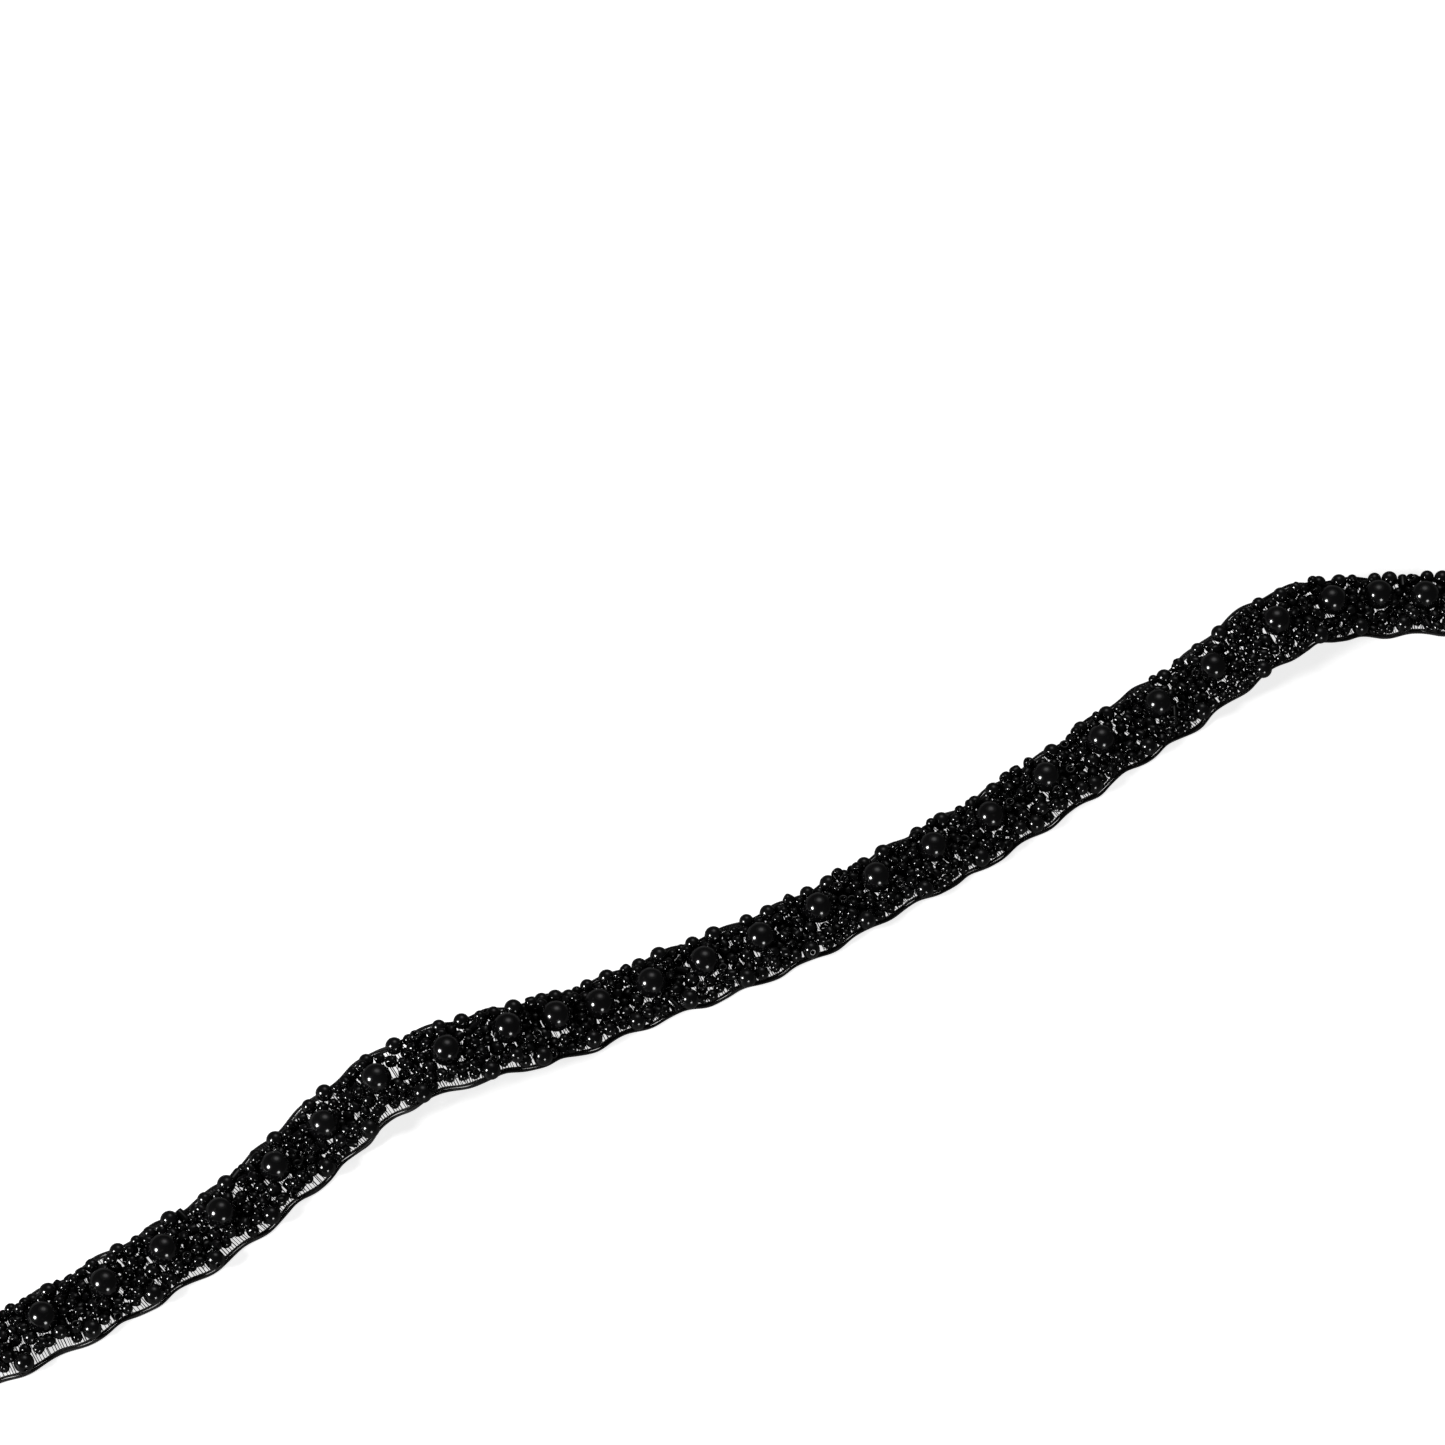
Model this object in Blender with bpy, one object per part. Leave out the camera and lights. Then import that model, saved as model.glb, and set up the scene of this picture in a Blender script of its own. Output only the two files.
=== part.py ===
# A length of pearl beaded trim lying on a flat surface.
#
# A narrow strip of sheer ribbed tulle has a thick stitched cord along each edge, and both edges
# are scalloped. Beads cover it: one round pearl on the middle line in each repeat, smaller pearls
# along both edges, and a low bed of seed beads over everything between them. The strip runs
# along X in soft waves and arches up in two places.
#
# Lengths along and across the strip are in its own flat layout. place() then lays a point of that
# layout on the waved strip. The origin is on the resting surface, under the middle of the trim.

import math
import random

import bpy
import numpy as np

MM = 0.001

TRIM_WIDTH = 15.4 * MM
SHEET_THICKNESS = 1.0 * MM
CORD_RADIUS = 0.55 * MM
CORD_SIDES = 5
SEAT_GAP = 0.3 * MM

PEARL_COUNT = 26
PEARL_PITCH = 12.8 * MM
PEARL_RADIUS = 3.0 * MM
FIRST_PEARL = 14.5 * MM
PEARL_STRAY = 0.5 * MM
PEARL_SEGMENTS = 9
PEARL_RINGS = 6
SOCKET_RADIUS = 3.5 * MM
AFTER_LAST_PEARL = 12.5 * MM
TRIM_LENGTH = FIRST_PEARL + (PEARL_COUNT - 1) * PEARL_PITCH + AFTER_LAST_PEARL

# Scallops: how far each edge bulges out at its own pearls, and where in the repeat it does.
SCALLOP_DEPTH = 0.45 * MM
NEAR_BULGE_AT = 6.4 * MM
FAR_BULGE_AT = 2.6 * MM
SCALLOP_STEPS = 6

# The bed of beads: columns in each repeat, rows on either side of the middle line.
BED_COLUMNS = 8
BED_ROWS = 4
BED_NEAR = 4.7 * MM
BED_FAR = 6.1 * MM
BED_END_MARGIN = 1.2 * MM
SEED_HEIGHT = 2.5 * MM
SEED_DIP = 1.5 * MM
SEED_PILING = 0.9 * MM
BED_RIM_HEIGHT = 1.1 * MM
SOCKET_STEPS = 2
RIM_SPREAD = 1.4

# Middle line on the surface, in mm: x, then y.
WAVES = (
    (-180, 1),
    (-160, -2),
    (-138, -2),
    (-116, -0.5),
    (-100, 3),
    (-86, 6.5),
    (-72, 7),
    (-58, 4.5),
    (-30, 2),
    (5, -2),
    (40, -2.5),
    (72, -0.5),
    (100, 3),
    (122, 4),
    (140, 4.5),
    (154, 1),
    (174, -11.5),
)
LEFT_END = -168 * MM

# Hand sewing crowds and spreads the repeats: pearl number from 0, then its shift along, in mm.
CROWDING = (
    (0, 0),
    (3, 0.8),
    (7, 3.5),
    (11, -3.5),
    (15, -4.5),
    (19, 0),
    (22, 6),
    (25, 3),
)

# Arches, in mm: x of the top, half of the length, lift of the near edge, lift of the far edge.
ARCHES = (
    (-62, 34, 6.0, 7.5),
    (130, 28, 5.0, 7.5),
    (-130, 18, 0.0, 0.8),
    (30, 24, 0.7, 0.0),
)

# Raised beads of one repeat, in mm: along from its pearl, across to the far side, radius.
RAISED_BEADS = (
    (6.4, -4.9, 1.9),
    (4.8, 5.9, 2.0),
    (0.4, 5.9, 1.5),
    (9.6, -1.6, 1.5),
)


def spline(knots, values, at):
    """Natural cubic spline through the values, read at other places."""
    steps = np.diff(knots)
    slopes = np.diff(values) / steps
    system = np.eye(len(knots))
    right = np.zeros(len(knots))
    for i in range(1, len(knots) - 1):
        system[i, i - 1 : i + 2] = steps[i - 1], 2 * (steps[i - 1] + steps[i]), steps[i]
        right[i] = 6 * (slopes[i] - slopes[i - 1])
    bend = np.linalg.solve(system, right)
    i = np.clip(np.searchsorted(knots, at) - 1, 0, len(knots) - 2)
    b = (at - knots[i]) / steps[i]
    a = 1 - b
    curve = (a**3 - a) * bend[i] + (b**3 - b) * bend[i + 1]
    return a * values[i] + b * values[i + 1] + curve * steps[i] ** 2 / 6


def lifts(x):
    """Heights of the near and the far edge over the surface, at each x."""
    near, far = np.zeros_like(x), np.zeros_like(x)
    for middle, half, near_lift, far_lift in ARCHES:
        reach = np.clip((x - middle * MM) / (half * MM), -1, 1)
        swell = np.cos(reach * math.pi / 2) ** 2
        near += swell * near_lift * MM
        far += swell * far_lift * MM
    return near, far


class MiddleLine:
    """The strip's middle line, measured along its own length from its left end."""

    SAMPLES = 1500

    def __init__(self):
        rows = np.array(WAVES, float) * MM
        x = np.linspace(rows[0, 0], rows[-1, 0], self.SAMPLES)
        y = spline(rows[:, 0], rows[:, 1], x)
        near, far = lifts(x)
        points = np.stack([x, y, (near + far) / 2], axis=1)
        self.along = np.append(0, np.cumsum(np.linalg.norm(np.diff(points, axis=0), axis=1)))
        self.start = np.interp(LEFT_END, x, self.along)
        self.points = points
        self.tilt = np.arcsin((far - near) / TRIM_WIDTH)
        run = np.gradient(points, self.along, axis=0)
        self.run = run / np.linalg.norm(run, axis=1)[:, None]

    def read(self, values, along):
        return np.array([np.interp(along + self.start, self.along, column) for column in values.T])

    def place(self, along, across, height):
        """The point of the laid strip that far along, across and above its underside."""
        middle = self.read(self.points, along)
        run = self.read(self.run, along)
        tilt = self.read(self.tilt[:, None], along)[0]
        level = np.array([-run[1], run[0], 0]) / math.hypot(run[0], run[1])
        side = level * math.cos(tilt) + np.array([0, 0, math.sin(tilt)])
        up = np.cross(run, side)
        up /= np.linalg.norm(up)
        return middle + side * across + up * height


LINE = MiddleLine()


def centred():
    """How far the whole trim moves, so that the origin is under the middle of its box."""
    edge = TRIM_WIDTH / 2
    ends = [
        LINE.place(step * TRIM_LENGTH / 300, side, 0)
        for step in range(301)
        for side in (-edge, edge)
    ]
    low, high = np.min(ends, axis=0), np.max(ends, axis=0)
    return np.array([(low[0] + high[0]) / 2, (low[1] + high[1]) / 2, 0])


SHIFT = centred()


def place(along, across, height):
    return LINE.place(along, across, height) - SHIFT


def finish(name, colour, roughness):
    material = bpy.data.materials.new(name)
    material.use_nodes = True
    shader = material.node_tree.nodes["Principled BSDF"]
    shader.inputs["Base Color"].default_value = (*colour, 1)
    shader.inputs["Roughness"].default_value = roughness
    shader.inputs["Metallic"].default_value = 0
    return material


def add_piece(name, vertices, faces, material):
    mesh = bpy.data.meshes.new(name)
    mesh.from_pydata([tuple(v) for v in vertices], [], faces)
    mesh.materials.append(material)
    mesh.shade_smooth()
    mesh.set_sharp_from_angle(angle=math.radians(50))
    mesh.update()
    piece = bpy.data.objects.new(name, mesh)
    bpy.context.scene.collection.objects.link(piece)
    return piece


def tube(rings):
    """Vertices and faces of a closed tube through equal rings of points."""
    sides = len(rings[0])
    vertices = [point for ring in rings for point in ring]
    faces = [tuple(range(sides - 1, -1, -1))]
    for ring in range(len(rings) - 1):
        for side in range(sides):
            a, b = ring * sides + side, ring * sides + (side + 1) % sides
            faces.append((a, b, b + sides, a + sides))
    last = (len(rings) - 1) * sides
    faces.append(tuple(range(last, last + sides)))
    return vertices, faces


def scallop(along, bulge_at):
    """How far an edge stands out there: in step with its pearls, each a little different."""
    repeat = (along - FIRST_PEARL - bulge_at) / PEARL_PITCH
    uneven = 0.35 * math.sin(1.7 * repeat) + 0.25 * math.sin(2.9 * repeat + 1)
    return SCALLOP_DEPTH * (math.cos(2 * math.pi * repeat) + uneven)


def stations(per_repeat):
    count = round(TRIM_LENGTH / PEARL_PITCH * per_repeat)
    return [TRIM_LENGTH * i / count for i in range(count + 1)]


def cord_middle(along, side):
    """Across place of an edge cord's middle, for the near side (-1) or the far side (1)."""
    bulge_at = NEAR_BULGE_AT if side < 0 else FAR_BULGE_AT
    return side * (TRIM_WIDTH / 2 - CORD_RADIUS - SCALLOP_DEPTH + scallop(along, bulge_at))


def make_ground(material):
    """The tulle, up to the cords, with its scalloped outline."""
    inset = CORD_RADIUS + SEAT_GAP
    rings = []
    for along in stations(SCALLOP_STEPS):
        near = cord_middle(along, -1) + inset
        far = cord_middle(along, 1) - inset
        corners = ((near, 0), (far, 0), (far, SHEET_THICKNESS), (near, SHEET_THICKNESS))
        rings.append([place(along, across, height) for across, height in corners])
    add_piece("tulle_ground", *tube(rings), material)


def make_cord(name, side, material):
    """One edge cord, resting on the surface beside the tulle."""
    flat = CORD_RADIUS * math.cos(math.pi / CORD_SIDES)
    rings = []
    for along in stations(SCALLOP_STEPS):
        middle = cord_middle(along, side)
        ring = []
        for i in range(CORD_SIDES):
            turn = 2 * math.pi * (i + 0.5) / CORD_SIDES - math.pi / 2
            across = middle + CORD_RADIUS * math.cos(turn)
            ring.append(place(along, across, flat + CORD_RADIUS * math.sin(turn)))
        rings.append(ring)
    add_piece(name, *tube(rings), material)


def stray(count):
    """Small uneven shifts of the pearls, along and across, always the same."""
    draw = random.Random(11)
    return [(draw.uniform(-1, 1), draw.uniform(-1, 1)) for _ in range(count)]


STRAYS = stray(PEARL_COUNT)


def pearl_place(number):
    """Along and across of a middle pearl, counted from 0 at the left."""
    along, across = STRAYS[number]
    numbers, shifts = np.array(CROWDING, float).T
    shift = float(spline(numbers, shifts * MM, number))
    even = FIRST_PEARL + number * PEARL_PITCH
    return even + shift + along * PEARL_STRAY, across * PEARL_STRAY


def make_pearl(number, material):
    """One round pearl, just over the tulle in its socket in the bed."""
    along, across = pearl_place(number)
    centre_height = SHEET_THICKNESS + SEAT_GAP + PEARL_RADIUS
    centre = place(along, across, centre_height)
    vertices = [(0, 0, -PEARL_RADIUS)]
    for ring in range(1, PEARL_RINGS):
        polar = math.pi * ring / PEARL_RINGS
        for segment in range(PEARL_SEGMENTS):
            turn = 2 * math.pi * segment / PEARL_SEGMENTS
            out = PEARL_RADIUS * math.sin(polar)
            level = -PEARL_RADIUS * math.cos(polar)
            vertices.append((out * math.cos(turn), out * math.sin(turn), level))
    vertices.append((0, 0, PEARL_RADIUS))
    top = len(vertices) - 1
    faces = []
    for segment in range(PEARL_SEGMENTS):
        following = (segment + 1) % PEARL_SEGMENTS
        faces.append((0, 1 + following, 1 + segment))
        for ring in range(PEARL_RINGS - 2):
            a = 1 + ring * PEARL_SEGMENTS + segment
            b = 1 + ring * PEARL_SEGMENTS + following
            faces.append((a, b, b + PEARL_SEGMENTS, a + PEARL_SEGMENTS))
        last = 1 + (PEARL_RINGS - 2) * PEARL_SEGMENTS
        faces.append((last + segment, last + following, top))
    pearl = add_piece(f"pearl_{number + 1:02d}", vertices, faces, material)
    pearl.location = centre


def swell(distance, reach):
    """1 at a raised bead and 0 from its reach on."""
    return math.cos(min(abs(distance) / reach, 1) * math.pi / 2) ** 2


class Bed:
    """The bed of beads as a grid over the tulle, open around each middle pearl.

    Columns count along the strip from the first pearl, and rows across it from the line through
    the pearls. A column that holds a pearl is a multiple of BED_COLUMNS.
    """

    def __init__(self):
        self.first = -round((FIRST_PEARL - BED_END_MARGIN) / PEARL_PITCH * BED_COLUMNS)
        last_pearl = pearl_place(PEARL_COUNT - 1)[0]
        after = (TRIM_LENGTH - BED_END_MARGIN - last_pearl) / PEARL_PITCH
        self.last = (PEARL_COUNT - 1) * BED_COLUMNS + int(after * BED_COLUMNS)
        self.draw = random.Random(5)
        self.index = {}
        self.vertices = []
        self.faces = []

    def nearest_pearl(self, column):
        return min(max(round(column / BED_COLUMNS), 0), PEARL_COUNT - 1)

    def from_pearl(self, column):
        return column - self.nearest_pearl(column) * BED_COLUMNS

    def in_repeat(self, column):
        return (column % BED_COLUMNS) * PEARL_PITCH / BED_COLUMNS

    def middle(self, column):
        """Along and across of the line through the pearls."""
        repeat = column / BED_COLUMNS
        if repeat < 0 or repeat > PEARL_COUNT - 1:
            number = self.nearest_pearl(column)
            along, across = pearl_place(number)
            return along + (repeat - number) * PEARL_PITCH, across
        before = min(int(repeat), PEARL_COUNT - 2)
        share = repeat - before
        a, b = pearl_place(before), pearl_place(before + 1)
        return a[0] + (b[0] - a[0]) * share, a[1] + (b[1] - a[1]) * share

    def rims(self, column):
        """How far the bed reaches to the near and to the far side: further at edge pearls."""
        reaches = {-1: BED_NEAR, 1: BED_FAR}
        for bead_along, bead_across, radius in RAISED_BEADS:
            side = 1 if bead_across > 0 else -1
            inner, outer = reaches[side], (abs(bead_across) + radius) * MM
            share = swell(self.in_repeat(column) - bead_along * MM, radius * RIM_SPREAD * MM)
            reaches[side] = max(inner, inner + (outer - inner) * share)
        return reaches[-1], reaches[1]

    def spot(self, column, row):
        """Along and across of a grid point. Those around a pearl lie on its socket's round wall."""
        step = self.from_pearl(column)
        if max(abs(step), abs(row)) == SOCKET_STEPS:
            turn = math.atan2(row, step)
            along, across = pearl_place(self.nearest_pearl(column))
            return (
                along + SOCKET_RADIUS * math.cos(turn),
                across + SOCKET_RADIUS * math.sin(turn),
            )
        along, middle = self.middle(column)
        near, far = self.rims(column)
        room = near + middle if row < 0 else far - middle
        return along, middle + room * row / BED_ROWS

    def height(self, column, row, across):
        """Height of the beads over the bed's underside: seeds and dips in turn, then the pearls."""
        uneven = self.draw.random() * SEED_PILING
        if abs(row) == BED_ROWS or column in (self.first, self.last):
            height = BED_RIM_HEIGHT + uneven / 3
        elif (column + row) % 2:
            height = SEED_DIP + uneven / 3
        else:
            height = SEED_HEIGHT + uneven
        for bead_along, bead_across, radius in RAISED_BEADS:
            along_off = self.in_repeat(column) - bead_along * MM
            off = math.hypot(along_off, across - bead_across * MM)
            if off < radius * MM:
                height = max(height, radius * MM + math.sqrt((radius * MM) ** 2 - off**2))
        return height

    def add_points(self):
        under = SHEET_THICKNESS + SEAT_GAP
        for column in range(self.first, self.last + 1):
            for row in range(-BED_ROWS, BED_ROWS + 1):
                if max(abs(self.from_pearl(column)), abs(row)) < SOCKET_STEPS:
                    continue
                along, across = self.spot(column, row)
                top = self.height(column, row, across)
                self.index[column, row] = len(self.vertices)
                self.vertices.append(place(along, across, under))
                self.vertices.append(place(along, across, under + top))

    def in_socket(self, column, row):
        """Whether the cell that starts at this grid point is open around a pearl."""
        step = column - self.nearest_pearl(column + 0.5) * BED_COLUMNS
        return -SOCKET_STEPS <= step < SOCKET_STEPS and -SOCKET_STEPS <= row < SOCKET_STEPS

    def add_faces(self):
        """Top and underside of each cell, and a wall along each edge that only one cell has."""
        walls = {}
        for column in range(self.first, self.last):
            for row in range(-BED_ROWS, BED_ROWS):
                if self.in_socket(column, row):
                    continue
                across_first = ((column, row), (column + 1, row))
                across_next = ((column + 1, row + 1), (column, row + 1))
                ring = [self.index[corner] for corner in across_first + across_next]
                self.faces.append(tuple(i + 1 for i in ring))
                self.faces.append(tuple(reversed(ring)))
                for a, b in zip(ring, ring[1:] + ring[:1]):
                    if walls.pop((b, a), None) is None:
                        walls[a, b] = (a, b, b + 1, a + 1)
        self.faces.extend(walls.values())

    def build(self, material):
        self.add_points()
        self.add_faces()
        add_piece("bead_bed", self.vertices, self.faces, material)


def main():
    for thing in list(bpy.data.objects):
        bpy.data.objects.remove(thing)
    make_ground(finish("sheer_tulle", (0.02, 0.02, 0.021), 0.7))
    cord = finish("edge_thread", (0.012, 0.012, 0.013), 0.6)
    make_cord("edge_cord_near", -1, cord)
    make_cord("edge_cord_far", 1, cord)
    Bed().build(finish("seed_beads", (0.008, 0.008, 0.009), 0.2))
    pearl = finish("black_pearl", (0.006, 0.006, 0.007), 0.15)
    for number in range(PEARL_COUNT):
        make_pearl(number, pearl)


main()
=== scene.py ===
# %% [markdown]
# # A length of pearl beaded trim
#
# The trim is a narrow strip of sheer ribbed tulle with a stitched cord along both scalloped
# edges. It is covered with black beads: one large pearl in each repeat, smaller pearls along the
# edges, and hundreds of seed beads between them. This lesson dresses plain solids of such a strip.
#
# The first cell loads those solids. They stay where they are.

# %% Load the solids
import math

import bpy
import numpy as np
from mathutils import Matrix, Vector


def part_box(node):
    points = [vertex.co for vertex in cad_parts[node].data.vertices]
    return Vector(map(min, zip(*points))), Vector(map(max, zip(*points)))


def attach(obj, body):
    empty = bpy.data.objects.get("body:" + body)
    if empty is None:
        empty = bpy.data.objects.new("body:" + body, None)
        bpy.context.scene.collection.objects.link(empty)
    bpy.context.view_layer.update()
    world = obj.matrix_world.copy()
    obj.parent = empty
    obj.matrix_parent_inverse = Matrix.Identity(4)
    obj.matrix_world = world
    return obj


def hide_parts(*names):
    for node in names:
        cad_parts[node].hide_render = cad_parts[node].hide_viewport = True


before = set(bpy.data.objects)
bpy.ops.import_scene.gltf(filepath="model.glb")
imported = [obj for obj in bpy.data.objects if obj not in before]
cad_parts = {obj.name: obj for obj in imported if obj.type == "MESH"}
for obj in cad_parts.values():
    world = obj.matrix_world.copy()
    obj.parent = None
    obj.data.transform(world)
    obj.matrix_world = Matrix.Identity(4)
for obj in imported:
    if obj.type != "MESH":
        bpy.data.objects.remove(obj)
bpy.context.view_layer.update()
PEARL_NODES = sorted(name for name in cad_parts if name.startswith("pearl_"))
print("solids:", len(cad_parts), "of them large pearls:", len(PEARL_NODES))

# %% [markdown]
# ## The camera
#
# A product photo of trim is taken from above at an angle, with a long lens, so that the far end
# isn't smaller than the near one. The camera is placed by its angle around the trim, its height
# angle and its distance, because these are the numbers that are easy to read from a picture.

# %% Place the camera
CAMERA_AZIMUTH = math.radians(-32)
CAMERA_ELEVATION = math.radians(55)
CAMERA_DISTANCE = 1.15
CAMERA_TARGET = np.array([0.0236, 0.0478, 0.0])
PICTURE_WIDTH_AT_TARGET = 0.289
SENSOR = 36.0


def sight_line(azimuth, elevation):
    """The direction in which a camera looks, turned from +Y and looking down."""
    level = math.cos(elevation)
    return np.array([-math.sin(azimuth) * level, math.cos(azimuth) * level, -math.sin(elevation)])


scene = bpy.context.scene
camera = bpy.data.objects.new("camera", bpy.data.cameras.new("camera"))
scene.collection.objects.link(camera)
camera.data.sensor_width = SENSOR
camera.data.lens = SENSOR * CAMERA_DISTANCE / PICTURE_WIDTH_AT_TARGET
camera.data.clip_start = 0.01
camera.location = CAMERA_TARGET - sight_line(CAMERA_AZIMUTH, CAMERA_ELEVATION) * CAMERA_DISTANCE
camera.rotation_euler = (math.pi / 2 - CAMERA_ELEVATION, 0, CAMERA_AZIMUTH)
scene.camera = camera
print("lens", round(camera.data.lens, 1), "mm")

# %% [markdown]
# ## The line on which everything is sewn
#
# Beads, threads and cords are all easiest to lay out on a flat, straight strip: so far along it,
# so far across it, so high above its underside. One function then bends that layout onto the
# strip as it really lies. The strip's middle line is a smooth curve through a few points, with
# two low arches. The same points and arches shape the solids, so both lie alike.

# %% Middle line: its own points
MM = 0.001
TRIM_WIDTH = 15.4 * MM
TRIM_LENGTH = 347 * MM
LEFT_END = -168 * MM
WAVES = (
    (-180, 1),
    (-160, -2),
    (-138, -2),
    (-116, -0.5),
    (-100, 3),
    (-86, 6.5),
    (-72, 7),
    (-58, 4.5),
    (-30, 2),
    (5, -2),
    (40, -2.5),
    (72, -0.5),
    (100, 3),
    (122, 4),
    (140, 4.5),
    (154, 1),
    (174, -11.5),
)
# Arches, in mm: x of the top, half of the length, lift of the near edge, lift of the far edge.
ARCHES = (
    (-62, 34, 6.0, 7.5),
    (130, 28, 5.0, 7.5),
    (-130, 18, 0.0, 0.8),
    (30, 24, 0.7, 0.0),
)


def spline(knots, values, at):
    """Natural cubic spline through the values, read at other places."""
    steps = np.diff(knots)
    slopes = np.diff(values) / steps
    system = np.eye(len(knots))
    right = np.zeros(len(knots))
    for i in range(1, len(knots) - 1):
        system[i, i - 1 : i + 2] = steps[i - 1], 2 * (steps[i - 1] + steps[i]), steps[i]
        right[i] = 6 * (slopes[i] - slopes[i - 1])
    bend = np.linalg.solve(system, right)
    i = np.clip(np.searchsorted(knots, at) - 1, 0, len(knots) - 2)
    b = (at - knots[i]) / steps[i]
    a = 1 - b
    curve = (a**3 - a) * bend[i] + (b**3 - b) * bend[i + 1]
    return a * values[i] + b * values[i + 1] + curve * steps[i] ** 2 / 6


def lifts(x):
    """Heights of the near and the far edge over the surface, at each x."""
    near, far = np.zeros_like(x), np.zeros_like(x)
    for middle, half, near_lift, far_lift in ARCHES:
        reach = np.clip((x - middle * MM) / (half * MM), -1, 1)
        swell = np.cos(reach * math.pi / 2) ** 2
        near += swell * near_lift * MM
        far += swell * far_lift * MM
    return near, far


# %% Middle line: lay the flat layout on it
LINE_SAMPLES = 1500

waves = np.array(WAVES, float) * MM
line_x = np.linspace(waves[0, 0], waves[-1, 0], LINE_SAMPLES)
near_edge, far_edge = lifts(line_x)
line_points = np.stack(
    [line_x, spline(waves[:, 0], waves[:, 1], line_x), (near_edge + far_edge) / 2], axis=1
)
line_along = np.append(0, np.cumsum(np.linalg.norm(np.diff(line_points, axis=0), axis=1)))
line_along -= np.interp(LEFT_END, line_x, line_along)
line_tilt = np.arcsin((far_edge - near_edge) / TRIM_WIDTH)


def unit(vectors):
    return vectors / np.linalg.norm(vectors, axis=-1, keepdims=True)


line_run = unit(np.gradient(line_points, line_along, axis=0))


def read_line(values, along):
    """Values kept for the line's samples, read at other places along it."""
    return np.stack([np.interp(along, line_along, column) for column in values.T], axis=-1)


def directions(along):
    """Unit vectors along the strip, across it to the far side, and up from it."""
    run = read_line(line_run, along)
    tilt = np.interp(along, line_along, line_tilt)[..., None]
    level = unit(np.stack([-run[..., 1], run[..., 0], np.zeros_like(along)], axis=-1))
    side = level * np.cos(tilt) + np.array([0, 0, 1]) * np.sin(tilt)
    return run, side, unit(np.cross(run, side))


def place(along, across, height):
    """Points of the laid strip, from their places in the flat layout."""
    along, across, height = np.broadcast_arrays(
        np.asarray(along, float), np.asarray(across, float), np.asarray(height, float)
    )
    _, side, up = directions(along)
    return read_line(line_points, along) + side * across[..., None] + up * height[..., None] - shift


shift = np.zeros(3)
outline = place(
    np.linspace(0, TRIM_LENGTH, 301)[:, None], np.array([-TRIM_WIDTH / 2, TRIM_WIDTH / 2]), 0
).reshape(-1, 3)
shift = np.append((outline.min(axis=0) + outline.max(axis=0))[:2] / 2, 0)
print("strip laid, its middle moved by", np.round(-shift / MM, 2), "mm")

# %% [markdown]
# ## Where the large pearls are
#
# The large pearls are the fixed points of the pattern: everything else is sewn around them. Their
# places are read from the solids' boxes and turned back into the flat layout, so that no number
# has to be repeated. A solid pearl has a corner on its +X side and a pole at its foot.

# %% Read the large pearls' places
PEARL_RADIUS = 3.0 * MM


def pearl_centre(node):
    low, high = np.array(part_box(node))
    return np.array([high[0] - PEARL_RADIUS, (low[1] + high[1]) / 2, low[2] + PEARL_RADIUS])


def flat_place(point):
    """Along, across and height of a point, from the nearest place of the middle line."""
    steps = np.linspace(0, TRIM_LENGTH, 3 * LINE_SAMPLES)
    middles = place(steps, 0, 0)
    nearest = np.argmin(np.linalg.norm(middles - point, axis=1))
    run, side, up = directions(steps[nearest])
    offset = point - middles[nearest]
    return steps[nearest] + offset @ run, offset @ side, offset @ up


pearls_flat = np.array([flat_place(pearl_centre(node)) for node in PEARL_NODES])
error = place(*pearls_flat.T) - [pearl_centre(node) for node in PEARL_NODES]
print("pearl spacing", np.round(np.diff(pearls_flat[:, 0]).mean() / MM, 2), "mm")
print("largest error of a pearl's place", round(float(np.abs(error).max() / MM), 3), "mm")

# %% [markdown]
# ## Scalloped edges
#
# Both edges bulge a little at their own pearls and draw in between them, as the stitching pulls
# the soft tulle. A cosine in step with the repeat gives the scallops, and two slower waves make
# each one different. The cords follow this line, and the tulle ends at the cords.

# %% Edge line
PEARL_PITCH = 12.8 * MM
FIRST_PEARL = 14.5 * MM
CORD_RADIUS = 0.55 * MM
SCALLOP_DEPTH = 0.45 * MM
BULGE_AT = {-1: 6.4 * MM, 1: 2.6 * MM}


def edge_line(along, side):
    """Across place of the cord's middle, on the near side (-1) or the far side (1)."""
    repeat = (along - FIRST_PEARL - BULGE_AT[side]) / PEARL_PITCH
    uneven = 0.35 * np.sin(1.7 * repeat) + 0.25 * np.sin(2.9 * repeat + 1)
    scallop = SCALLOP_DEPTH * (np.cos(2 * math.pi * repeat) + uneven)
    return side * (TRIM_WIDTH / 2 - CORD_RADIUS - SCALLOP_DEPTH + scallop)


# %% [markdown]
# ## Helpers that turn numbers into meshes
#
# Hundreds of beads and threads are far too many objects to handle one by one, so each kind of
# thing becomes one mesh. NumPy works out all its points at once, which takes well under a second.
# Each mesh also keeps a random tone for each bead or thread, and a map that runs along a thread
# and around it. The materials read both.

# %% Mesh from points and faces


def add_mesh(name, points, faces, tones=None, strand_map=None):
    """One object from points and faces, shaded smooth, with its tones and its strand map."""
    mesh = bpy.data.meshes.new(name)
    mesh.from_pydata(points.tolist(), [], [face for group in faces for face in group.tolist()])
    if tones is not None:
        mesh.attributes.new("tone", "FLOAT", "POINT").data.foreach_set("value", tones)
    if strand_map is not None:
        layer = mesh.uv_layers.new(name="strand")
        layer.data.foreach_set("uv", strand_map.ravel())
    mesh.shade_smooth()
    mesh.update()
    thing = bpy.data.objects.new(name, mesh)
    scene.collection.objects.link(thing)
    triangles = sum(len(group) * (group.shape[1] - 2) for group in faces)
    print(name, "has", triangles, "triangles")
    return thing


def sideways(axes):
    """Two unit vectors square to each axis and to each other."""
    helper = np.where(np.abs(axes[..., 2:]) < 0.8, [0, 0, 1], [1, 0, 0])
    first = unit(np.cross(axes, helper))
    return first, np.cross(axes, first)


# %% Tubes for threads, ribs and cords


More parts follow.
